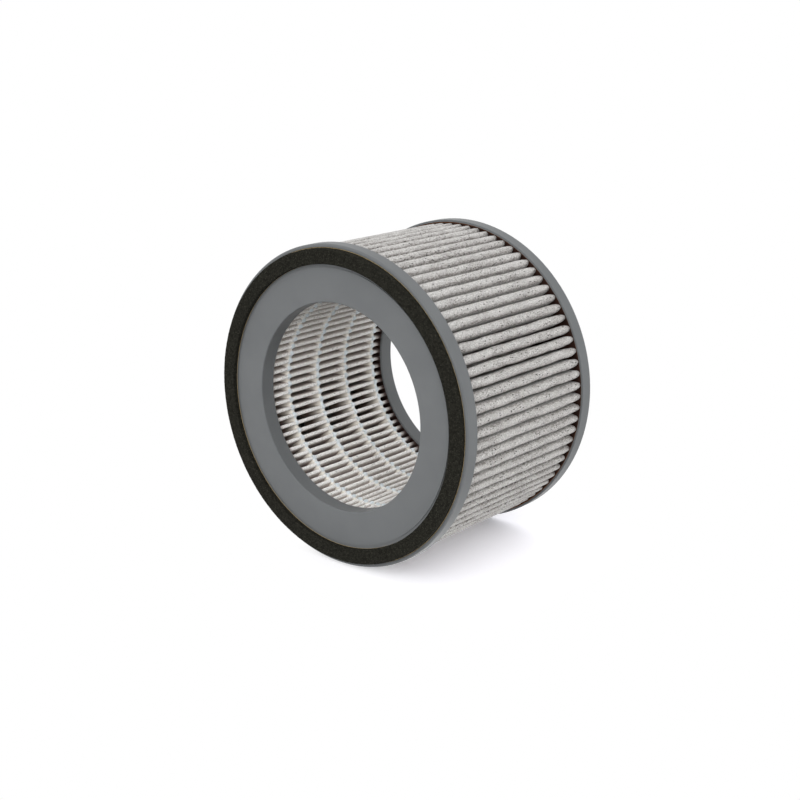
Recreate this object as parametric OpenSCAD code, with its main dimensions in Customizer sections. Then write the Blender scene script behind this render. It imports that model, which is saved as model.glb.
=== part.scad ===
// Round cartridge filter for an air purifier: an accordion of pleated media
// potted between two moulded ring caps, with a foam gasket on the front cap.
// The axis is Z, the rear cap stands on Z = 0 and the gasket faces up.

/* [Overall] */
// Outside diameter of both end caps
cap_od = 205; // [180:1:260]
// Distance between the flat faces of the two caps
filter_h = 128; // [100:1:220]
// Diameter of the hole through both caps
bore_d = 133; // [100:1:140]

/* [End caps] */
// Thickness of the flat ring of a cap
plate_t = 2; // [1.6:0.1:3]
// Wall of the skirt round the outside of a cap
skirt_wall = 1.4; // [1:0.1:2]
// Depth of the skirt, measured from the flat face
skirt_depth = 9.2; // [9:0.1:14]
// Wall of the collar round the hole of a cap
collar_wall = 1.4; // [1:0.1:2]
// Depth of the collar, measured from the flat face
collar_depth = 10.6; // [9.5:0.1:16]
// Rounding where the flat face turns into the skirt
face_edge_r = 1.2; // [0.4:0.1:1.5]
// Rounding where the flat face turns into the collar
bore_edge_r = 0.8; // [0.3:0.1:1.2]
// Rounding of the free rims of skirt and collar
rim_edge_r = 0.5; // [0.2:0.1:0.5]
// Fillet at the foot of the skirt and of the collar inside the channel
channel_fillet_r = 0.8; // [0.3:0.1:0.9]

/* [Gasket] */
// Distance from the outside of the cap to the outside of the foam ring
gasket_inset = 2.5; // [2.2:0.1:8]
// Radial width of the foam ring
gasket_w = 9.8; // [6:0.1:12]
// Thickness of the foam
gasket_t = 3; // [2:0.1:6]
// Thickness of the adhesive tape under the foam
tape_t = 0.3; // [0.2:0.05:0.6]
// How far the tape shows past the foam on the outside
tape_margin = 0.3; // [0.1:0.05:0.6]
// Depth of the shallow seat for tape and foam in the front cap
seat_depth = 0.6; // [0.3:0.1:1]
// Gap between the tape and the outer edge of the seat
seat_gap = 0.2; // [0.1:0.05:0.4]
// How far the seat runs on past the inner edge of the foam
seat_margin = 2; // [0.5:0.1:4]

/* [Pleated media] */
// Number of pleats round the filter
pleat_count = 84; // [60:2:96]
// Thickness of the folded sheet
media_t = 0.8; // [0.5:0.05:1.1]
// Gap between the outer folds and the skirt
crest_to_skirt = 0.7; // [0.4:0.1:2]
// Gap between the inner folds and the collar
tip_to_collar = 1.5; // [1:0.1:6]
// Open gap between two neighbouring outer folds
crest_gap = 1.6; // [1:0.1:2.5]
// How far the oval round of an outer fold reaches in from its apex
crest_round = 2.2; // [1.6:0.1:6]
// Inside radius of the narrow inner folds
tip_inside_r = 0.4; // [0.3:0.05:0.9]
// Swing of the slow drift in the spacing of the pleats, in degrees
slow_drift = 0.25; // [0:0.05:0.6]
// Swing of the quick drift in the spacing of the pleats, in degrees
quick_drift = 0.55; // [0:0.05:0.6]

/* [Potting adhesive] */
// Depth of adhesive in the channel of a cap, above the flat ring
potting_depth = 6.2; // [3:0.1:6.6]
// Adhesive between the flat ring and the ends of the pleats
pleat_end_gap = 1; // [0.5:0.1:2]

/* [Glue beads] */
// Distance from the rear face to the middle of the lowest bead
bead_low = 16.4; // [14:0.1:30]
// Distance from the front face to the middle of the highest bead
bead_high = 28.8; // [14:0.1:40]
// Height of a bead along the axis
bead_h = 3.2; // [1.5:0.1:4]
// Thickness of a bead where it runs over an inner fold
bead_cover = 0.5; // [0.3:0.05:1]
// Distance from the outer folds to where a bead's webs in the valleys end
bead_to_crest = 13; // [8:0.5:22]

/* [Hidden] */

// Facets of every round surface, and steps in the rounded corners and folds
round_fn = 180;
corner_steps = 5;
crest_steps = 6;
crest_inside_steps = 4;
tip_steps = 5;
tip_inside_steps = 2;

// Angle of the first crest before any drift, waves of the drift in one turn, and where each starts
first_crest = -0.3;
slow_waves = 1;
slow_start = 158;
quick_waves = 2;
quick_start = -15;

// Cut faces pass this far through what they cut
through = 1;

cap_r = cap_od / 2;
bore_r = bore_d / 2;
channel_out_r = cap_r - skirt_wall;
channel_in_r = bore_r + collar_wall;

gasket_r = cap_r - gasket_inset;
gasket_in_r = gasket_r - gasket_w;
tape_r = gasket_r + tape_margin;
seat_out_r = tape_r + seat_gap;
seat_in_r = gasket_in_r - seat_margin;
seat_z = filter_h - seat_depth;

// The crest is the round outer fold, the tip is the narrow inner fold
crest_apex_r = channel_out_r - crest_to_skirt;
tip_apex_r = channel_in_r + tip_to_collar;
tip_outside_r = tip_inside_r + media_t;
tip_centre_r = tip_apex_r + tip_outside_r;
// Half a crest and half a gap share half a pitch on the circle of crest centres
half_pitch = 180 / pleat_count;
crest_centre_r = crest_apex_r - crest_round;
crest_half_w = crest_centre_r * sin(half_pitch) - crest_gap / 2;
crest_inside_round = crest_round - media_t;
crest_inside_half_w = crest_half_w - media_t;

potting_z = plate_t + potting_depth;
pleat_z = plate_t + pleat_end_gap;
pleat_h = filter_h - 2 * pleat_z;

// The beads are numbered from the rear cap and spaced evenly
bead_count = 4;
bead_pitch = (filter_h - bead_low - bead_high) / (bead_count - 1);
bead_in_r = tip_apex_r - bead_cover;
bead_out_r = crest_apex_r - bead_to_crest;
// Share of the straight wall of a pleat that a bead covers
bead_share = (bead_out_r - tip_centre_r) / (crest_centre_r - tip_centre_r);

// Angle of crest number i, evenly spaced but for the drift
function crest_angle(i) =
    let (even = 360 * i / pleat_count)
    first_crest + even
    + slow_drift * cos(slow_waves * (even + slow_start))
    + quick_drift * cos(quick_waves * (even + quick_start));
// Angle of the inner fold that follows crest number i
function tip_angle(i) = (crest_angle(i) + crest_angle(i + 1)) / 2;

// A point given by its distance from the axis along a ray, and to the side of that ray
function beside(angle, out, side) =
    [out * cos(angle) - side * sin(angle), out * sin(angle) + side * cos(angle)];
function between(p, q, share) = p + share * (q - p);
// Half an oval round a point on a ray, bulging outwards (bulge 1) or inwards (bulge -1)
function fold_arc(angle, centre_r, reach, half_w, bulge, steps) =
    [for (k = [0 : steps])
        let (a = -90 + 180 * k / steps)
        beside(angle, centre_r + bulge * reach * cos(a), half_w * sin(a))];
function crest_arc(i, reach, half_w, steps) =
    fold_arc(crest_angle(i), crest_centre_r, reach, half_w, 1, steps);
function tip_arc(i, r, steps) = fold_arc(tip_angle(i), tip_centre_r, r, r, -1, steps);
function flat(lists) = [for (list = lists, item = list) item];
// Quarter circle in a cap's section, from angle a0 on
function corner(centre, r, a0) =
    [for (k = [0 : corner_steps])
        let (a = a0 + 90 * k / corner_steps)
        centre + r * [cos(a), sin(a)]];
// The same quarter circle run backwards, for the fillets of the channel
function fillet(centre, r, a0) =
    [for (k = [0 : corner_steps])
        let (a = a0 - 90 * k / corner_steps)
        centre + r * [cos(a), sin(a)]];

// The outside of the folded sheet, round the crests and down into the outer valleys
media_outside = flat([for (i = [0 : pleat_count - 1])
    concat(crest_arc(i, crest_round, crest_half_w, crest_steps),
           tip_arc(i, tip_inside_r, tip_inside_steps))]);
// The inside of the folded sheet, up under the crests and round the tips
media_inside = flat([for (i = [0 : pleat_count - 1])
    concat(crest_arc(i, crest_inside_round, crest_inside_half_w, crest_inside_steps),
           tip_arc(i, tip_outside_r, tip_steps))]);

// Wall of a pleat beside crest i, from the tip (share 0) to the crest (share 1)
function wall_before(i, share) =
    between(beside(tip_angle(i - 1), tip_centre_r, tip_outside_r),
            beside(crest_angle(i), crest_centre_r, -crest_inside_half_w), share);
function wall_after(i, share) =
    between(beside(tip_angle(i), tip_centre_r, -tip_outside_r),
            beside(crest_angle(i), crest_centre_r, crest_inside_half_w), share);
// The outside of a glue bead: across each inner valley and round each tip
bead_outside = flat([for (i = [0 : pleat_count - 1])
    concat([wall_before(i, bead_share), wall_after(i, bead_share)],
           tip_arc(i, tip_outside_r, tip_steps))]);

module ring(inner_r, outer_r, height) {
    difference() {
        cylinder(r = outer_r, h = height, $fn = round_fn);
        translate([0, 0, -through])
            cylinder(r = inner_r, h = height + 2 * through, $fn = round_fn);
    }
}

// Section of a ring cap, flat face down: skirt outside, channel, collar inside
module cap_section() {
    polygon(concat(
        corner([cap_r - face_edge_r, face_edge_r], face_edge_r, 270),
        corner([cap_r - rim_edge_r, skirt_depth - rim_edge_r], rim_edge_r, 0),
        [[channel_out_r, skirt_depth]],
        fillet([channel_out_r - channel_fillet_r, plate_t + channel_fillet_r], channel_fillet_r, 0),
        fillet([channel_in_r + channel_fillet_r, plate_t + channel_fillet_r], channel_fillet_r, 270),
        [[channel_in_r, collar_depth]],
        corner([bore_r + rim_edge_r, collar_depth - rim_edge_r], rim_edge_r, 90),
        corner([bore_r + bore_edge_r, bore_edge_r], bore_edge_r, 180)
    ));
}

module ring_cap() {
    rotate_extrude($fn = round_fn) cap_section();
}

module folded_sheet() {
    outside_path = [for (k = [0 : len(media_outside) - 1]) k];
    inside_path = [for (k = [0 : len(media_inside) - 1]) len(media_outside) + k];
    translate([0, 0, pleat_z])
        linear_extrude(height = pleat_h)
            polygon(concat(media_outside, media_inside), [outside_path, inside_path]);
}

// Adhesive that fills a cap's channel and holds the pleat ends in slots of their own shape
module channel_fill() {
    difference() {
        translate([0, 0, plate_t]) ring(channel_in_r, channel_out_r, potting_depth);
        translate([0, 0, plate_t]) rotate_extrude($fn = round_fn) channel_corners();
        folded_sheet();
    }
}

// The two corners of the channel that the cap's fillets take up
module channel_corners() {
    polygon(concat([[channel_out_r, 0]],
        fillet([channel_out_r - channel_fillet_r, channel_fillet_r], channel_fillet_r, 0)));
    polygon(concat([[channel_in_r, 0]],
        fillet([channel_in_r + channel_fillet_r, channel_fillet_r], channel_fillet_r, 270)));
}

module turned_over() {
    translate([0, 0, filter_h]) mirror([0, 0, 1]) children();
}

module rear_end_cap() {
    color("dimgray") ring_cap();
}

module front_end_cap() {
    color("gray") difference() {
        turned_over() ring_cap();
        translate([0, 0, seat_z]) ring(seat_in_r, seat_out_r, seat_depth + through);
    }
}

module rear_potting() {
    color("saddlebrown") channel_fill();
}

module front_potting() {
    color("saddlebrown") turned_over() channel_fill();
}

module pleated_media() {
    color("gainsboro") folded_sheet();
}

// One glue bead: a thin ring over the tips with a web in each inner valley
module glue_bead(number) {
    color("aliceblue")
        translate([0, 0, bead_low + (number - 1) * bead_pitch - bead_h / 2])
            difference() {
                linear_extrude(height = bead_h) polygon(bead_outside);
                translate([0, 0, -through])
                    cylinder(r = bead_in_r, h = bead_h + 2 * through, $fn = round_fn);
            }
}

module glue_bead_1() {
    glue_bead(1);
}

module glue_bead_2() {
    glue_bead(2);
}

module glue_bead_3() {
    glue_bead(3);
}

module glue_bead_4() {
    glue_bead(4);
}

module gasket_tape() {
    color("peru") translate([0, 0, seat_z]) ring(gasket_in_r, tape_r, tape_t);
}

module foam_gasket() {
    color("darkslategray")
        translate([0, 0, seat_z + tape_t]) ring(gasket_in_r, gasket_r, gasket_t);
}

rear_end_cap();
front_end_cap();
rear_potting();
front_potting();
pleated_media();
glue_bead_1();
glue_bead_2();
glue_bead_3();
glue_bead_4();
gasket_tape();
foam_gasket();
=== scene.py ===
"""Round pleated air filter cartridge: its visual model, stage, light and camera."""

import math

import bpy
import numpy as np
from mathutils import Matrix, Vector


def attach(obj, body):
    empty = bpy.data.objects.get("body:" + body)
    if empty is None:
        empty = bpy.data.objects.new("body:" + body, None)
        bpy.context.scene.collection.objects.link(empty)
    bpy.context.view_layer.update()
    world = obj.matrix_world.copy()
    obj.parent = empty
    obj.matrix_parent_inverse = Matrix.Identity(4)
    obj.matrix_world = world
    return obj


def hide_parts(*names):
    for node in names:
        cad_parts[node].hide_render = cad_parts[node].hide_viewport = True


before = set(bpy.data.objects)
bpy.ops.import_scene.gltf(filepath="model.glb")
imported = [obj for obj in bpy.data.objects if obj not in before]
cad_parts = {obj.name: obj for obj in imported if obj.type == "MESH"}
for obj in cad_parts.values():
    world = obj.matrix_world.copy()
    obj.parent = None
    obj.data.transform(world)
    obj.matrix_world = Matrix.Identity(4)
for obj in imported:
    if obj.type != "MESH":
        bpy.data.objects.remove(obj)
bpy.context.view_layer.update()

# Sizes are in millimetres, as in the part's source, unless a comment says otherwise
MM = 0.001
CAP_R = 102.5
FILTER_H = 128.0
PLATE_T = 2.0
CHANNEL_OUT_R = 101.1
CHANNEL_IN_R = 67.9

# The folded sheet: round outer crests and tight inner tips
PLEAT_COUNT = 84
HALF_PITCH = math.pi / PLEAT_COUNT
PLEAT_Z = 3.0
MEDIA_T = 0.8
CREST_APEX_R = 100.4
CREST_GAP = 1.6
CREST_ROUND = 2.2
CREST_CENTRE_R = CREST_APEX_R - CREST_ROUND
CREST_HALF_W = CREST_CENTRE_R * math.sin(HALF_PITCH) - CREST_GAP / 2
TIP_APEX_R = 69.4
TIP_INSIDE_R = 0.4
TIP_OUTSIDE_R = TIP_INSIDE_R + MEDIA_T
TIP_CENTRE_R = TIP_APEX_R + TIP_OUTSIDE_R

# Spacing of the folds, in degrees: where the first stands, and its drift once and twice round
FIRST_CREST = -0.3
SLOW_DRIFT, SLOW_TURN = 0.25, 158
QUICK_DRIFT, QUICK_TURN = 0.55, 15

# Unevenness of the folds: swing to the side, sinking inwards, and change of width as a share
CREST_SWING, CREST_SINK, CREST_SWELL = 0.16, 0.12, 0.035
TIP_SWING, TIP_SINK = 0.10, 0.12

# How far along the axis the width is out of step with the swing, and the least half width
# that is left hollow inside a crest
SWELL_SHIFT = 31
LEAST_HOLLOW = 0.05

# Ends of the folds: round noses where they enter the potting, and tips that lean to the bore
NOSE_FROM, NOSE_LENGTH = 7.9, 9.0
NOSE_DIP, NOSE_WIDTH = 0.15, 0.45
FOOT_FROM, FOOT_TO, FOOT_SPREAD = 9.0, 15.5, 0.5

# Points of the sheet's mesh: on a bend's outside and inside, along a flank, and up the height
BEND_POINTS, INSIDE_POINTS = 9, 3
FLANK_STEPS = (0.12, 0.5)
NOSE_RINGS, MIDDLE_RINGS = 8, 20

# Lines of hot glue across the tips, with points at each tip and, as shares, in each valley.
# The cord wanders and swells round the ring, sags into each valley and creeps up its webs
BEAD_Z = (16.4, 44.0, 71.6, 99.2)
BEAD_H = 3.2
BEAD_COVER = 0.5
BEAD_OUT_R = 87.4
BEAD_TIP_STEPS = (-1.35, -1.2, -0.9, -0.45, 0, 0.45, 0.9, 1.2, 1.35)
BEAD_VALLEY_STEPS = (0.34, 0.42, 0.5, 0.58, 0.66)
BEAD_WAVES = 6
BEAD_WANDER, WANDER_TURNS = 0.10, 5
BEAD_SWELL, SWELL_TURNS = 0.035, 9
BEAD_SAG, SAG_SPREAD = 1.9, 0.25
BEAD_CREEP, CREEP_SPREAD = 4.4, 0.6
CREEP_FROM, CREEP_TO = 0.2, 0.8
BEAD_ROUND = 0.8

# A bead's back lies this deep in the felt of a tip, up to this far from the tip's sides
BEAD_IN_FELT = 0.4
BEAD_SEAT_EDGE = 0.3

# Poured adhesive in the channels, which creeps up at their walls
POTTING_Z = 8.2
POTTING_STEPS = 15
POTTING_SEGMENTS = 252
POTTING_GAP = 0.02
POTTING_LIFT = 0.05
POTTING_CORNER = 0.9
WALL_CREEP, WALL_CREEP_LENGTH = 0.5, 0.9
POTTING_WAVES, POTTING_WAVE_H = (7, 19, 43), 0.06

# Foam ring
GASKET_R = 100.0
GASKET_IN_R = 90.2
GASKET_Z = 127.7
GASKET_T = 3.0
GASKET_SEGMENTS = 720
FOAM_EDGE = 0.7
FOAM_FOOT_IN, FOAM_FOOT_UP = 0.1, 0.2
FOAM_FREE_FROM, FOAM_FREE_TO = 0.2, 0.8
FOAM_RIM = 3.9
FOAM_WAVES = (31, 67, 113, 181, 263)
FOAM_SIDE_IN, FOAM_TOP_IN = 0.10, 0.07

# Spans over which the felt's looks change: radii, and height above the nearer cap face
INNER_ENDS = (72.0, 80.0)
# The flank, deep and valley spans mark where shade is painted down between the folds
FLANK_STARTS, FLANK_ENDS = (69.9, 71.6), (82.0, 90.0)
DEEP_STARTS, DEEP_ENDS = (71.2, 75.5), (89.0, 94.5)
VALLEY_STARTS, VALLEY_ENDS = (96.0, 99.0), (98.8, 100.6)
CREST_STARTS = (92.5, 95.5)
SOAK_ENDS = (11.5, 17.5)
VALLEY_RAGGED, SOAK_RAGGED, SOAK_ON_CREST = 2.8, 3.0, 8.0

# Radii at which the glue's web turns cream and then darkens to brown as painted shade deeper in the
# valley, and at which the potting's rim starts
WEB_CREAM, WEB_SHADE = (69.9, 71.0), (71.4, 82.0)
RIM_STARTS = (100.2, 100.9)

# Dish in the normals of the caps' flat faces: its radii, how it deepens, and its slope at the end
DISH_SPAN, DISH_POWER, DISH_FALL = (68.0, 88.0), 2.3, 0.05

# Colours, as linear red, green, blue and alpha
WHITE = (1, 1, 1, 1)
PLASTIC_LIGHT, PLASTIC_DARK = (0.132, 0.138, 0.142, 1), (0.122, 0.128, 0.132, 1)
FELT_DARK, FELT_LIGHT = (0.335, 0.325, 0.315, 1), (0.545, 0.535, 0.520, 1)
# The felt of the inner folds is painted lighter than the outer felt, as painted light inside the
# bore
FELT_INNER_LIT_DARK, FELT_INNER_LIT_LIGHT = (0.84, 0.82, 0.79, 1), (0.98, 0.97, 0.95, 1)
# Painted shade in the narrow valleys between the outer folds
FELT_VALLEY_SHADE = (0.180, 0.164, 0.154, 1)
FELT_FIBRE = (0.84, 0.83, 0.81, 1)
FELT_PEPPER = (0.14, 0.13, 0.12, 1)
FELT_SPECK = (0.03, 0.026, 0.024, 1)
# Painted shade on the flanks and deep in the valleys between the inner tips
FELT_FLANK_SHADE = (0.52, 0.455, 0.42, 1)
FELT_DEEP_SHADE = (0.28, 0.205, 0.18, 1)
# Potting soaked into the felt near the caps, also standing as painted shade in the pockets between
# the fold ends
FELT_SOAK_AND_SHADE = (0.090, 0.040, 0.030, 1)
GLUE_DARK, GLUE_LIGHT = (0.66, 0.72, 0.75, 1), (0.80, 0.86, 0.90, 1)
# The web's brown is painted shade deeper in the valleys
GLUE_CREAM, GLUE_WEB_SHADE = (0.84, 0.80, 0.72, 1), (0.22, 0.155, 0.125, 1)
POTTING_DARK, POTTING_LIGHT = (0.018, 0.009, 0.007, 1), (0.038, 0.017, 0.012, 1)
POTTING_RIM = (0.20, 0.075, 0.022, 1)
FOAM_DARK, FOAM_LIGHT = (0.0075, 0.0072, 0.0050, 1), (0.017, 0.0165, 0.0125, 1)
# Painted glints of light on the foam's cell edges
FOAM_GLINT = (0.060, 0.058, 0.046, 1)
TAPE_DARK, TAPE_LIGHT = (0.22, 0.155, 0.065, 1), (0.40, 0.30, 0.15, 1)
# Over 1, so that the floor is about as white as the backdrop where no shadow falls
FLOOR_COLOUR = (1.12, 1.11, 1.165, 1)

# The photo shows the cartridge lying on its side, with this direction up
PHOTO_UP = Vector((0.1522, 0.9884, 0.0))
MIDDLE = Vector((0, 0, FILTER_H / 2)) * MM

# Half the floor's side in metres, and the spans over which its shadow starts and ends
FLOOR_HALF = 0.9
SHADE_SIDE_STARTS, SHADE_SIDE_ENDS = (-45, 0), (60, 140)
SHADE_END_STARTS, SHADE_END_ENDS = (-50, 0), (100, 155)

# Strength of the surrounding light below and above, and half the height over which it changes
WORLD_LEVELS = (0.0, 1.24)
WORLD_BLEND = 0.15

# Soft boxes: name, direction from the middle, width and height in metres, power in watts
LAMP_DISTANCE = 1.3
LAMPS = (
    ("front_box", (0.633, 0.411, 0.656), 0.9, 0.9, 5.5),
    ("low_front_box", (0.793, -0.242, -0.559), 0.9, 0.9, 3.2),
    ("low_box", (0.500, -0.866, 0.000), 0.9, 0.9, 7.6),
    ("bottom_box", (-0.083, -0.947, -0.309), 0.9, 0.9, 6.8),
    ("bore_box", (0.172, -0.024, 0.985), 0.9, 0.9, 3.4),
    ("sheen_box", (-0.591, -0.153, 0.792), 0.62, 0.34, 2.8),
)

# The photo's camera, fitted to the edges of the rings
CAMERA_AT = Vector((602.74, 161.28, 737.69)) * MM
CAMERA_FORWARD = Vector((-0.6583, -0.1843, -0.7299)).normalized()
CAMERA_RIGHT = Vector((0.752, -0.1158, -0.6489))
CAMERA_LENS, SENSOR_WIDTH = 63.337, 36.0

rng = np.random.default_rng(84)


class Ripple:
    """Seeded smooth curves along the axis, one for each fold, with a swing of about 1."""

    def __init__(self, longest, waves=5):
        self.size = rng.normal(size=(PLEAT_COUNT, waves)) / np.sqrt(waves)
        self.turn = rng.uniform(0, 2 * np.pi, size=(PLEAT_COUNT, waves))
        self.rate = 2 * np.pi * np.arange(1, waves + 1) / longest

    def at(self, z):
        return (self.size * np.sin(self.rate * z + self.turn)).sum(axis=1)


crest_sway, crest_heave = Ripple(110), Ripple(90)
tip_sway, tip_heave = Ripple(120), Ripple(80)


# Meshes


def mesh_object(name, points_mm, faces, sharp_deg=40):
    """A smooth shaded mesh from points in millimetres."""
    mesh = bpy.data.meshes.new(name)
    mesh.from_pydata((np.asarray(points_mm) * MM).tolist(), [], faces)
    mesh.validate()
    mesh.shade_smooth()
    mesh.set_sharp_from_angle(angle=math.radians(sharp_deg))
    made = bpy.data.objects.new(name, mesh)
    bpy.context.scene.collection.objects.link(made)
    return made


def grid_faces(rows, columns, close_rows=False, close_columns=False, flip=False, first=0):
    """Quads between neighbouring points of a grid whose points are numbered row by row."""
    faces = []
    for i in range(rows if close_rows else rows - 1):
        for j in range(columns if close_columns else columns - 1):
            i2, j2 = (i + 1) % rows, (j + 1) % columns
            quad = (i * columns + j, i * columns + j2, i2 * columns + j2, i2 * columns + j)
            faces.append(tuple(first + k for k in (quad[::-1] if flip else quad)))
    return faces


def lathe(name, section, segments, wobble, sharp_deg=40):
    """A closed section of radius and height turned round the axis, made uneven by wobble."""
    section = np.asarray(section)
    rows = []
    for a in np.linspace(0, 2 * np.pi, segments, endpoint=False):
        r, z = wobble(a, section[:, 0], section[:, 1])
        rows.append(np.stack([r * np.cos(a), r * np.sin(a), z], axis=1))
    faces = grid_faces(segments, len(section), close_rows=True, close_columns=True)
    return mesh_object(name, np.concatenate(rows), faces, sharp_deg)


def smooth_step(low, high, value):
    """0 below low and 1 above high, with soft ends between them."""
    share = np.clip((value - low) / (high - low), 0, 1)
    return share * share * (3 - 2 * share)


def arc(centre, r, start_deg, end_deg, steps):
    """Points of an arc in a section of radius and height."""
    angles = np.radians(np.linspace(start_deg, end_deg, steps + 1))
    return [(centre[0] + r * math.cos(a), centre[1] + r * math.sin(a)) for a in angles]


def random_turns(*shape):
    return rng.uniform(0, 2 * np.pi, shape)


# The folded sheet


def crest_angles():
    even = np.arange(PLEAT_COUNT) * 360 / PLEAT_COUNT
    slow = SLOW_DRIFT * np.cos(np.radians(even + SLOW_TURN))
    quick = QUICK_DRIFT * np.cos(np.radians(2 * (even - QUICK_TURN)))
    return np.radians(FIRST_CREST + even + slow + quick)


def next_round(angles):
    """For each fold the angle of the one after it."""
    return np.append(angles[1:], angles[0] + 2 * np.pi)


CREST_A = crest_angles()
TIP_A = (CREST_A + next_round(CREST_A)) / 2


def tip_angles(z):
    return TIP_A + TIP_SWING * tip_sway.at(z) / TIP_APEX_R


def beside(angle, out, side):
    """Points given by distance along each ray and sideways from it, for arrays of rays."""
    out, side = np.broadcast_arrays(out, side)
    cos, sin = np.cos(angle)[:, None], np.sin(angle)[:, None]
    return np.stack([out * cos - side * sin, out * sin + side * cos], axis=-1)


def nose_share(z):
    """1 along the middle of a fold, falling off like an ellipse where the potting starts."""
    share = np.clip((min(z, FILTER_H - z) - NOSE_FROM) / NOSE_LENGTH, 0, 1)
    return math.sqrt(1 - (1 - share) ** 2)


def join_folds(crest, tip):
    """One outline of the sheet: each crest, the flank down, the tip and the flank up."""
    after = np.roll(crest, -1, axis=0)
    down = [crest[:, -1] + s * (tip[:, 0] - crest[:, -1]) for s in FLANK_STEPS]
    up = [tip[:, -1] + (1 - s) * (after[:, 0] - tip[:, -1]) for s in reversed(FLANK_STEPS)]
    rows = [crest, np.stack(down, axis=1), tip, np.stack(up, axis=1)]
    return np.concatenate(rows, axis=1).reshape(-1, 2)


def fold_rings(z):
    """Outside and inside outline of the folded sheet at height z."""
    nose = nose_share(z)
    sway = CREST_SWING * nose * crest_sway.at(z)[:, None] / CREST_APEX_R
    dip = NOSE_DIP * (1 - nose) + CREST_SINK * np.abs(crest_heave.at(z))[:, None]
    wide = CREST_HALF_W * (NOSE_WIDTH + (1 - NOSE_WIDTH) * nose)
    wide = wide * (1 + CREST_SWELL * crest_sway.at(z + SWELL_SHIFT)[:, None])
    wide = np.maximum(wide, MEDIA_T + LEAST_HOLLOW)
    centre_r = CREST_CENTRE_R - dip
    crest_a = CREST_A + sway[:, 0]
    tip_a = tip_angles(z)
    foot = 1 - smooth_step(FOOT_FROM, FOOT_TO, min(z, FILTER_H - z))
    tip_r = TIP_CENTRE_R + TIP_SINK * np.abs(tip_heave.at(z))[:, None] - FOOT_SPREAD * foot

    many = np.radians(np.linspace(-90, 90, BEND_POINTS))
    few = np.radians(np.linspace(-90, 90, INSIDE_POINTS))
    thin, low = wide - MEDIA_T, CREST_ROUND - MEDIA_T
    crest_out = beside(crest_a, centre_r + CREST_ROUND * np.cos(many), wide * np.sin(many))
    crest_in = beside(crest_a, centre_r + low * np.cos(few), thin * np.sin(few))
    tip_in = beside(tip_a, tip_r - TIP_INSIDE_R * np.cos(few), TIP_INSIDE_R * np.sin(few))
    tip_out = beside(tip_a, tip_r - TIP_OUTSIDE_R * np.cos(many), TIP_OUTSIDE_R * np.sin(many))
    return join_folds(crest_out, tip_in), join_folds(crest_in, tip_out)


def fold_levels():
    """Heights of the rings of the folded sheet, closest together in the noses."""
    turns = np.linspace(0, math.pi / 2, NOSE_RINGS)
    low = [PLEAT_Z] + [NOSE_FROM + NOSE_LENGTH * (1 - math.cos(a)) for a in turns]
    middle = np.linspace(low[-1], FILTER_H - low[-1], MIDDLE_RINGS)[1:-1]
    return low + list(middle) + [FILTER_H - z for z in reversed(low)]


def build_media():
    levels = fold_levels()
    outside, inside = [], []
    for z in levels:
        for rings, outline in zip((outside, inside), fold_rings(z)):
            rings.append(np.hstack([outline, np.full((len(outline), 1), z)]))
    rows, count = len(levels), len(outside[0])
    inner = rows * count
    top = (rows - 1) * count
    faces = grid_faces(rows, count, close_columns=True)
    faces += grid_faces(rows, count, close_columns=True, flip=True, first=inner)
    for j in range(count):
        j2 = (j + 1) % count
        faces.append((j2, j, inner + j, inner + j2))
        faces.append((top + j, top + j2, inner + top + j2, inner + top + j))
    return mesh_object("media_folds", np.concatenate(outside + inside), faces, sharp_deg=80)


# Glue, potting and gasket


def build_bead(number):
    """One line of hot glue: a cord over every tip that sags into the valleys and fills them."""
    drift, swell = random_turns(BEAD_WAVES), random_turns(BEAD_WAVES)
    lump = rng.normal(0, 1, (PLEAT_COUNT, 2))
    z = BEAD_Z[number - 1]
    tip_a = tip_angles(z)
    gaps = (next_round(tip_a) - tip_a) * TIP_APEX_R
    loops = []
    for i, gap in enumerate(gaps):
        for x in BEAD_TIP_STEPS + tuple(s * gap for s in BEAD_VALLEY_STEPS):
            angle = tip_a[i] + x / TIP_APEX_R
            loops.append(bead_loop(angle, x, gap, z, drift, swell, lump[i]))
    faces = grid_faces(len(loops), len(loops[0]), close_rows=True, close_columns=True)
    return mesh_object(f"bead_{number}", np.concatenate(loops), faces, sharp_deg=70)


def bead_loop(angle, x, gap, z, drift, swell, lump):
    """Section of a bead at distance x past a tip, as points round it."""
    turns = np.arange(1, BEAD_WAVES + 1)
    wander = BEAD_WANDER * np.sin(turns * WANDER_TURNS * angle + drift).sum()
    size = 1 + BEAD_SWELL * np.sin(turns * SWELL_TURNS * angle + swell).sum()
    valley = (1 - math.cos(2 * math.pi * x / gap)) / 2
    in_r = TIP_APEX_R - BEAD_COVER + (BEAD_SAG + SAG_SPREAD * lump[0]) * valley
    out_r = BEAD_OUT_R
    if abs(x) < TIP_OUTSIDE_R - BEAD_SEAT_EDGE:
        out_r = TIP_CENTRE_R - math.sqrt(TIP_OUTSIDE_R**2 - x * x) + BEAD_IN_FELT
    deep = out_r - in_r
    r = min(BEAD_ROUND, deep * 0.8)
    half = BEAD_H / 2 * size
    creep = (BEAD_CREEP + CREEP_SPREAD * lump[1]) * smooth_step(CREEP_FROM, CREEP_TO, valley)
    section = [
        (out_r, half + creep),
        (in_r + 0.5 * deep, half + 0.62 * creep),
        (in_r + 0.18 * deep, half + 0.22 * creep),
        (in_r + r, half),
        (in_r + 0.3 * r, 0.82 * half),
        (in_r, 0.35 * half),
        (in_r, -0.35 * half),
        (in_r + 0.3 * r, -0.82 * half),
        (in_r + r, -half),
        (in_r + 0.5 * deep, -half),
        (out_r, -half - 0.3),
    ]
    cos, sin = math.cos(angle), math.sin(angle)
    return np.array([(s * cos, s * sin, z + wander + h) for s, h in section])


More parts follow.
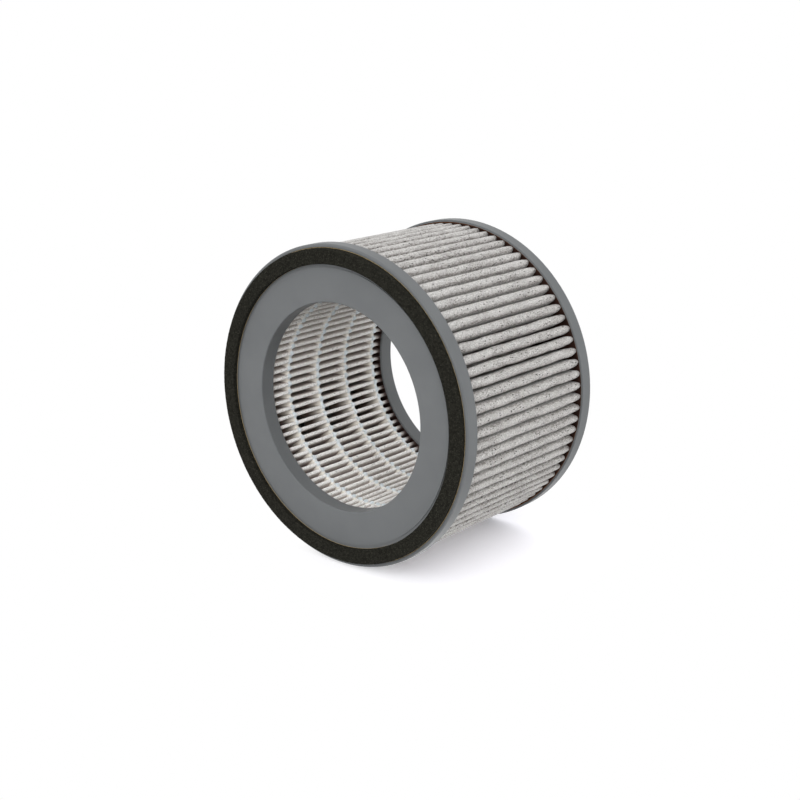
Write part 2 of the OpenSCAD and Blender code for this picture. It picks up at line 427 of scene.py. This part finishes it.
def build_potting(name, turned):
    """Poured adhesive: its level creeps up at both walls of the channel."""
    width = CHANNEL_OUT_R - CHANNEL_IN_R
    low = PLATE_T + POTTING_LIFT
    section = [(CHANNEL_IN_R + POTTING_CORNER, low), (CHANNEL_OUT_R - POTTING_CORNER, low)]
    for s in np.linspace(0, 1, POTTING_STEPS):
        r = CHANNEL_OUT_R - POTTING_GAP - s * (width - 2 * POTTING_GAP)
        edge = min(CHANNEL_OUT_R - r, r - CHANNEL_IN_R)
        section.append((r, POTTING_Z + WALL_CREEP * math.exp(-edge / WALL_CREEP_LENGTH)))
    phase = random_turns(len(POTTING_WAVES), len(section))

    def wobble(angle, r, z):
        wave = sum(np.sin(k * angle + p) for k, p in zip(POTTING_WAVES, phase))
        z = np.where(z > (low + POTTING_Z) / 2, z + POTTING_WAVE_H * wave, z)
        return r, (FILTER_H - z if turned else z)

    made = lathe(name, section, POTTING_SEGMENTS, wobble)
    if turned:
        made.data.flip_normals()
    return made


def build_gasket():
    """Foam ring with soft edges and a top that is not quite flat."""
    low, high = GASKET_Z, GASKET_Z + GASKET_T
    out_r, in_r, edge = GASKET_R, GASKET_IN_R, FOAM_EDGE
    middle_r = (out_r + in_r) / 2
    flat = out_r - in_r - 2 * edge
    section = [
        (in_r + FOAM_FOOT_IN, low),
        (out_r - FOAM_FOOT_IN, low),
        (out_r, low + FOAM_FOOT_UP),
        *[(out_r, low + s * (GASKET_T - edge)) for s in (0.4, 0.7)],
        *arc((out_r - edge, high - edge), edge, 0, 90, 5),
        *[(out_r - edge - s * flat, high) for s in np.linspace(0.08, 0.92, 12)],
        *arc((in_r + edge, high - edge), edge, 90, 180, 5),
        *[(in_r, low + s * (GASKET_T - edge)) for s in (0.7, 0.4)],
        (in_r, low + FOAM_FOOT_UP),
    ]
    phase = random_turns(len(FOAM_WAVES), len(section))

    def wobble(angle, r, z):
        waves = sum(np.sin(k * angle + p) for k, p in zip(FOAM_WAVES, phase))
        swing = 1 + waves / len(FOAM_WAVES)
        free = smooth_step(low + FOAM_FREE_FROM, low + FOAM_FREE_TO, z)
        side = (np.abs(r - middle_r) > FOAM_RIM) * FOAM_SIDE_IN * free
        return r + np.sign(middle_r - r) * side * swing, z - free * FOAM_TOP_IN * swing

    return lathe("gasket_foam", section, GASKET_SEGMENTS, wobble, sharp_deg=80)


# Shader nodes


def fill(tree, node, inputs):
    """Sets each named input of a node to a value, or links it to a socket."""
    for key, value in inputs.items():
        if isinstance(value, bpy.types.NodeSocket):
            tree.links.new(value, node.inputs[key])
        else:
            node.inputs[key].default_value = value


def add_node(tree, kind, inputs=None, **settings):
    """A shader node with its settings and inputs."""
    made = tree.nodes.new(kind)
    for key, value in settings.items():
        setattr(made, key, value)
    fill(tree, made, inputs or {})
    return made


def maths(tree, operation, a, b=0.0):
    return add_node(tree, "ShaderNodeMath", {0: a, 1: b}, operation=operation).outputs[0]


def times(tree, a, b):
    return maths(tree, "MULTIPLY", a, b)


def plus(tree, a, b):
    return maths(tree, "ADD", a, b)


def ramp(tree, value, low, high, to_low=0.0, to_high=1.0, kind="SMOOTHSTEP"):
    """Maps a value from the range low to high onto another range, with soft ends."""
    inputs = {0: value, 1: low, 2: high, 3: to_low, 4: to_high}
    return add_node(tree, "ShaderNodeMapRange", inputs, interpolation_type=kind).outputs[0]


def rise(tree, value, span, to_low=0.0, to_high=1.0, kind="SMOOTHSTEP"):
    """A ramp over a span in millimetres."""
    return ramp(tree, value, span[0] * MM, span[1] * MM, to_low, to_high, kind)


def band(tree, value, starts, ends):
    """1 between two spans in millimetres and 0 outside them."""
    return times(tree, rise(tree, value, starts), rise(tree, value, ends, 1.0, 0.0))


def mix(tree, share, a, b):
    return add_node(tree, "ShaderNodeMix", {0: share, 6: a, 7: b}, data_type="RGBA").outputs[2]


def noise(tree, where, scale, detail=3.0, rough=0.55):
    inputs = {"Vector": where, "Scale": scale, "Detail": detail, "Roughness": rough}
    return add_node(tree, "ShaderNodeTexNoise", inputs).outputs[0]


def cells(tree, where, scale):
    return add_node(tree, "ShaderNodeTexVoronoi", {"Vector": where, "Scale": scale}).outputs


def vectors(tree, operation, a, b=(0, 0, 0), output="Vector"):
    made = add_node(tree, "ShaderNodeVectorMath", {0: a, 1: b}, operation=operation)
    return made.outputs[output]


def stretched(tree, where, x, y, z):
    return vectors(tree, "MULTIPLY", where, (x, y, z))


def z_of(tree, vector):
    return add_node(tree, "ShaderNodeSeparateXYZ", {0: vector}).outputs[2]


def bump(tree, height, strength, distance, **normal):
    """Normals of a relief whose full height is a distance in millimetres."""
    inputs = {"Strength": strength, "Distance": distance * MM, "Height": height, **normal}
    return add_node(tree, "ShaderNodeBump", inputs).outputs[0]


def new_material(name):
    """An empty material with its tree, its principled shader and the place of each point."""
    made = bpy.data.materials.new(name)
    made.use_nodes = True
    tree = made.node_tree
    shader = tree.nodes["Principled BSDF"]
    where = add_node(tree, "ShaderNodeTexCoord").outputs["Object"]
    return made, tree, shader, where


def axis_distance(tree, where):
    return vectors(tree, "LENGTH", stretched(tree, where, 1, 1, 0), output="Value")


def end_distance(tree, where):
    """Distance along the axis from the nearer cap face."""
    z = z_of(tree, where)
    return maths(tree, "MINIMUM", z, maths(tree, "SUBTRACT", FILTER_H * MM, z))


# Materials


def dished_normal(tree, where):
    """Normal of a cap whose flat face falls away a little from the bore to the gasket."""
    normal = add_node(tree, "ShaderNodeNewGeometry").outputs["Normal"]
    share = rise(tree, axis_distance(tree, where), DISH_SPAN, kind="LINEAR")
    fall = times(tree, maths(tree, "POWER", share, DISH_POWER), DISH_FALL)
    on_flat = ramp(tree, maths(tree, "ABSOLUTE", z_of(tree, normal)), 0.9, 0.99)
    outward = vectors(tree, "NORMALIZE", stretched(tree, where, 1, 1, 0))
    inputs = {0: outward, "Scale": times(tree, fall, on_flat)}
    lean = add_node(tree, "ShaderNodeVectorMath", inputs, operation="SCALE").outputs[0]
    return vectors(tree, "NORMALIZE", vectors(tree, "ADD", normal, lean))


def plastic_material():
    """Moulded plastic: fine grain, faint clouding and slightly uneven gloss."""
    made, tree, shader, where = new_material("cap_plastic")
    cloud = ramp(tree, noise(tree, where, scale=28), 0.35, 0.65)
    grain = noise(tree, where, scale=2600, detail=2)
    scuff = noise(tree, stretched(tree, where, 1, 1, 6), scale=160, detail=5, rough=0.7)
    fill(tree, shader, {
        "Base Color": mix(tree, cloud, PLASTIC_LIGHT, PLASTIC_DARK),
        "Roughness": plus(tree, ramp(tree, scuff, 0.3, 0.7, 0.32, 0.39), times(tree, grain, 0.06)),
        "Specular IOR Level": 0.13,
        "Normal": bump(tree, grain, 0.2, 0.04, Normal=dished_normal(tree, where)),
    })
    return made


def felt_specks(tree, where, along, radius):
    """Shares of fine pepper and of single carbon specks, both fewer on the inner folds."""
    fewer = rise(tree, radius, INNER_ENDS, 0.45, 1.0)
    cloud = ramp(tree, noise(tree, along, scale=70), 0.35, 0.62)
    fine = noise(tree, stretched(tree, where, 1, 1, 0.7), scale=1300, detail=1, rough=0.5)
    fine = ramp(tree, fine, 0.36, 0.43, 1.0, 0.0)
    pepper = times(tree, fine, ramp(tree, cloud, 0.2, 1.0, 0.3, 0.9))
    grains = cells(tree, along, scale=780.0)
    pick = add_node(tree, "ShaderNodeSeparateColor", {0: grains["Color"]}).outputs[0]
    dot = ramp(tree, grains["Distance"], 0.20, 0.36, 1.0, 0.0)
    speck = times(tree, dot, ramp(tree, pick, 0.80, 0.84))
    return times(tree, pepper, fewer), times(tree, speck, fewer)


def felt_valley_shade(tree, along, radius):
    """Share of painted shade in the narrow valleys between the outer folds, with a ragged outer
    edge.
    """
    drift = maths(tree, "SUBTRACT", noise(tree, along, scale=130, detail=2), 0.5)
    edge = plus(tree, radius, times(tree, drift, VALLEY_RAGGED * MM))
    inside = rise(tree, edge, VALLEY_ENDS, 1.0, 0.0)
    return times(tree, inside, rise(tree, radius, VALLEY_STARTS, 0.2, 1.0))


def felt_soak_and_shade(tree, where, radius):
    """Share of the felt near the caps that the potting has soaked into, kept off the crests so that
    it also paints shade into the pockets between the fold ends.
    """
    ragged = times(tree, noise(tree, where, scale=300), SOAK_RAGGED * MM)
    height = plus(tree, end_distance(tree, where), ragged)
    on_crest = times(tree, rise(tree, radius, CREST_STARTS), SOAK_ON_CREST * MM)
    return rise(tree, plus(tree, height, on_crest), SOAK_ENDS, 1.0, 0.0)


def felt_material():
    """Needled felt with carbon specks, brown where the potting has soaked in, painted shade down
    between the folds and painted light on the inner folds.
    """
    made, tree, shader, where = new_material("filter_felt")
    along = stretched(tree, where, 1, 1, 0.45)
    radius = axis_distance(tree, where)
    mottle = ramp(tree, noise(tree, where, scale=1250, detail=2, rough=0.7), 0.38, 0.62)
    grainy = noise(tree, where, scale=1000, detail=2, rough=0.7)
    grainy = ramp(tree, grainy, 0.38, 0.62, 1.0, 0.62)
    # Patches that break up the painted shade in the valleys
    patchy_shade = ramp(tree, noise(tree, along, scale=950, detail=2, rough=0.75), 0.42, 0.58, 1.0, 0.25)
    fibre = noise(tree, stretched(tree, where, 1, 1, 0.5), scale=1500, detail=2, rough=0.6)
    lumps = noise(tree, stretched(tree, where, 1, 1, 0.6), scale=170, detail=2, rough=0.6)
    pepper, speck = felt_specks(tree, where, along, radius)

    # Painted light: the inner folds get a lighter copy of the felt
    inner = mix(tree, mottle, FELT_INNER_LIT_DARK, FELT_INNER_LIT_LIGHT)
    layers = (
        # Painted shade in the outer valleys, in patches
        (times(tree, felt_valley_shade(tree, along, radius), patchy_shade), FELT_VALLEY_SHADE),
        (rise(tree, radius, INNER_ENDS, 1.0, 0.0), inner),
        (ramp(tree, fibre, 0.58, 0.70, 0.0, 0.35), FELT_FIBRE),
        (pepper, FELT_PEPPER),
        (times(tree, speck, 0.9), FELT_SPECK),
        # Painted shade on the inner flanks and deep in the valleys
        (times(tree, band(tree, radius, FLANK_STARTS, FLANK_ENDS), grainy), FELT_FLANK_SHADE),
        (times(tree, band(tree, radius, DEEP_STARTS, DEEP_ENDS), grainy), FELT_DEEP_SHADE),
        (times(tree, felt_soak_and_shade(tree, where, radius), 0.95), FELT_SOAK_AND_SHADE),
    )
    base = mix(tree, mottle, FELT_DARK, FELT_LIGHT)
    for share, colour in layers:
        base = mix(tree, share, base, colour)
    relief = plus(tree, times(tree, mottle, 0.7), times(tree, fibre, 0.5))
    relief = plus(tree, relief, times(tree, lumps, 6.0))
    fill(tree, shader, {
        "Base Color": base,
        "Roughness": 0.92,
        "Specular IOR Level": 0.15,
        "Sheen Weight": 0.12,
        "Normal": bump(tree, relief, 0.5, 0.25),
    })
    return made


def glue_material():
    """Hot glue: pale, slightly blue, smooth and a little uneven, with painted brown shade down in
    its webs.
    """
    made, tree, shader, where = new_material("bead_hot_glue")
    radius = axis_distance(tree, where)
    cloud = ramp(tree, noise(tree, where, scale=260), 0.35, 0.65)
    base = mix(tree, cloud, GLUE_DARK, GLUE_LIGHT)
    base = mix(tree, rise(tree, radius, WEB_CREAM), base, GLUE_CREAM)
    # Painted shade: the web darkens to brown deeper in the valley
    base = mix(tree, rise(tree, radius, WEB_SHADE), base, GLUE_WEB_SHADE)
    fill(tree, shader, {
        "Base Color": base,
        "Roughness": ramp(tree, noise(tree, where, scale=500, detail=2), 0.3, 0.7, 0.30, 0.48),
        "Normal": bump(tree, noise(tree, where, scale=420), 0.35, 0.3),
    })
    return made


def potting_material():
    """Poured brown adhesive with small bubbles, a dull gloss and a lighter rim."""
    made, tree, shader, where = new_material("potting_adhesive")
    cloud = ramp(tree, noise(tree, where, scale=180, detail=4), 0.3, 0.7)
    rim = rise(tree, axis_distance(tree, where), RIM_STARTS, 0.0, 0.8)
    bubbles = ramp(tree, cells(tree, where, scale=700.0)["Distance"], 0.1, 0.35)
    fill(tree, shader, {
        "Base Color": mix(tree, rim, mix(tree, cloud, POTTING_DARK, POTTING_LIGHT), POTTING_RIM),
        "Roughness": ramp(tree, cloud, 0, 1, 0.28, 0.5),
        "Specular IOR Level": 0.15,
        "Normal": bump(tree, bubbles, 0.4, 0.25),
    })
    return made


def foam_material():
    """Open cell foam, nearly black, with fine painted glints where light catches the cell edges."""
    made, tree, shader, where = new_material("gasket_foam")
    pore = ramp(tree, cells(tree, where, scale=1250.0)["Distance"], 0.15, 0.5)
    cloud = ramp(tree, noise(tree, where, scale=700), 0.35, 0.65)
    # Painted glints on the foam
    glint = ramp(tree, noise(tree, where, scale=1300, detail=2, rough=0.6), 0.55, 0.66)
    base = mix(tree, cloud, FOAM_DARK, FOAM_LIGHT)
    fill(tree, shader, {
        "Base Color": mix(tree, times(tree, glint, 0.55), base, FOAM_GLINT),
        "Roughness": 0.95,
        "Specular IOR Level": 0.1,
        "Normal": bump(tree, plus(tree, pore, cloud), 0.8, 0.35),
    })
    return made


def tape_material():
    """Edge of the brown backing tape, with fine paper fibres."""
    made, tree, shader, where = new_material("gasket_tape")
    fibre = noise(tree, stretched(tree, where, 1, 1, 4), scale=900, detail=4)
    fibre = ramp(tree, fibre, 0.3, 0.7)
    fill(tree, shader, {
        "Base Color": mix(tree, fibre, TAPE_DARK, TAPE_LIGHT),
        "Roughness": 0.75,
        "Normal": bump(tree, fibre, 0.3, 0.1),
    })
    return made


# Stage, light and camera


def stage_material(across):
    """White to the camera with the part's shadow on it, clear from behind and to other rays."""
    made, tree, shader, where = new_material("stage_floor")
    tree.nodes.remove(shader)
    sideways = vectors(tree, "DOT_PRODUCT", where, across, output="Value")
    near_side = band(tree, sideways, SHADE_SIDE_STARTS, SHADE_SIDE_ENDS)
    near_end = band(tree, z_of(tree, where), SHADE_END_STARTS, SHADE_END_ENDS)
    shade = add_node(tree, "ShaderNodeBsdfDiffuse", {"Color": FLOOR_COLOUR}).outputs[0]
    white = add_node(tree, "ShaderNodeEmission", {"Color": WHITE, "Strength": 1.0}).outputs[0]
    inputs = {0: times(tree, near_side, near_end), 1: white, 2: shade}
    seen = add_node(tree, "ShaderNodeMixShader", inputs).outputs[0]
    clear = add_node(tree, "ShaderNodeBsdfTransparent").outputs[0]
    camera_ray = add_node(tree, "ShaderNodeLightPath").outputs["Is Camera Ray"]
    behind = add_node(tree, "ShaderNodeNewGeometry").outputs["Backfacing"]
    front = times(tree, camera_ray, maths(tree, "SUBTRACT", 1.0, behind))
    surface = add_node(tree, "ShaderNodeMixShader", {0: front, 1: clear, 2: seen}).outputs[0]
    fill(tree, tree.nodes["Material Output"], {"Surface": surface})
    return made


def build_stage():
    """The plane that the cartridge lies on in the photo, under the rims of both caps."""
    axis = Vector((0, 0, 1))
    across = PHOTO_UP.cross(axis).normalized()
    foot = MIDDLE - PHOTO_UP * CAP_R * MM
    corners = [(-1, -1), (1, -1), (1, 1), (-1, 1)]
    points = [foot + FLOOR_HALF * (a * across + b * axis) for a, b in corners]
    mesh = bpy.data.meshes.new("stage_floor")
    mesh.from_pydata([tuple(p) for p in points], [], [(0, 1, 2, 3)])
    if mesh.polygons[0].normal.dot(PHOTO_UP) < 0:
        mesh.flip_normals()
    floor = bpy.data.objects.new("stage_floor", mesh)
    bpy.context.scene.collection.objects.link(floor)
    mesh.materials.append(stage_material(across))
    floor.visible_diffuse = floor.visible_glossy = False
    floor.visible_transmission = floor.visible_shadow = False


def build_world():
    """Soft surrounding light, stronger from above, and plain white where it is seen or mirrored."""
    world = bpy.data.worlds.new("soft_surround")
    bpy.context.scene.world = world
    world.use_nodes = True
    tree = world.node_tree
    tree.nodes.clear()
    path = add_node(tree, "ShaderNodeLightPath").outputs
    seen = maths(tree, "MAXIMUM", path["Is Camera Ray"], path["Is Transmission Ray"])
    seen = maths(tree, "MAXIMUM", seen, path["Is Glossy Ray"])
    way = add_node(tree, "ShaderNodeTexCoord").outputs["Generated"]
    height = vectors(tree, "DOT_PRODUCT", way, PHOTO_UP, output="Value")
    level = ramp(tree, height, -WORLD_BLEND, WORLD_BLEND, *WORLD_LEVELS)
    soft, white = [
        add_node(tree, "ShaderNodeBackground", {"Color": WHITE, "Strength": strength}).outputs[0]
        for strength in (level, 1.0)
    ]
    surface = add_node(tree, "ShaderNodeMixShader", {0: seen, 1: soft, 2: white}).outputs[0]
    add_node(tree, "ShaderNodeOutputWorld", {"Surface": surface})


def add_lamp(name, way, wide, tall, power):
    """A soft box that looks at the middle of the part, its width along the photo's floor."""
    data = bpy.data.lights.new(name, "AREA")
    data.shape = "RECTANGLE"
    data.size, data.size_y = wide, tall
    data.energy = power
    lamp = bpy.data.objects.new(name, data)
    bpy.context.scene.collection.objects.link(lamp)
    back = Vector(way).normalized()
    side = PHOTO_UP.cross(back).normalized()
    turn = Matrix((side, back.cross(side), back)).transposed()
    lamp.matrix_world = Matrix.Translation(MIDDLE + back * LAMP_DISTANCE) @ turn.to_4x4()


def build_camera():
    data = bpy.data.cameras.new("camera")
    data.lens = CAMERA_LENS
    data.sensor_width = SENSOR_WIDTH
    data.clip_start, data.clip_end = 0.05, 20.0
    up = CAMERA_RIGHT.cross(CAMERA_FORWARD).normalized()
    right = CAMERA_FORWARD.cross(up)
    camera = bpy.data.objects.new("camera", data)
    bpy.context.scene.collection.objects.link(camera)
    turn = Matrix((right, up, -CAMERA_FORWARD)).transposed()
    camera.matrix_world = Matrix.Translation(CAMERA_AT) @ turn.to_4x4()
    bpy.context.scene.camera = camera


# The whole scene


def dress(piece, node, material):
    """A piece that stands for a CAD node and material."""
    piece.data.materials.append(material)
    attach(piece, "root")
    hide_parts(node)


def refinish(node, material):
    """Gives a CAD node that stays its real material."""
    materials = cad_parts[node].data.materials
    for k in range(len(materials)):
        materials[k] = material
    if not materials:
        materials.append(material)


build_camera()
build_stage()
build_world()
for lamp_row in LAMPS:
    add_lamp(*lamp_row)

dress(build_media(), "pleated_media", felt_material())
glue = glue_material()
for bead_number in range(1, len(BEAD_Z) + 1):
    dress(build_bead(bead_number), f"glue_bead_{bead_number}", glue)
potting = potting_material()
dress(build_potting("potting_rear", False), "rear_potting", potting)
dress(build_potting("potting_front", True), "front_potting", potting)
gasket = build_gasket()
dress(gasket, "foam_gasket", foam_material())
refinish("gasket_tape", tape_material())
plastic = plastic_material()
refinish("rear_end_cap", plastic)
refinish("front_end_cap", plastic)

view_settings = bpy.context.scene.view_settings
view_settings.view_transform = "Standard"
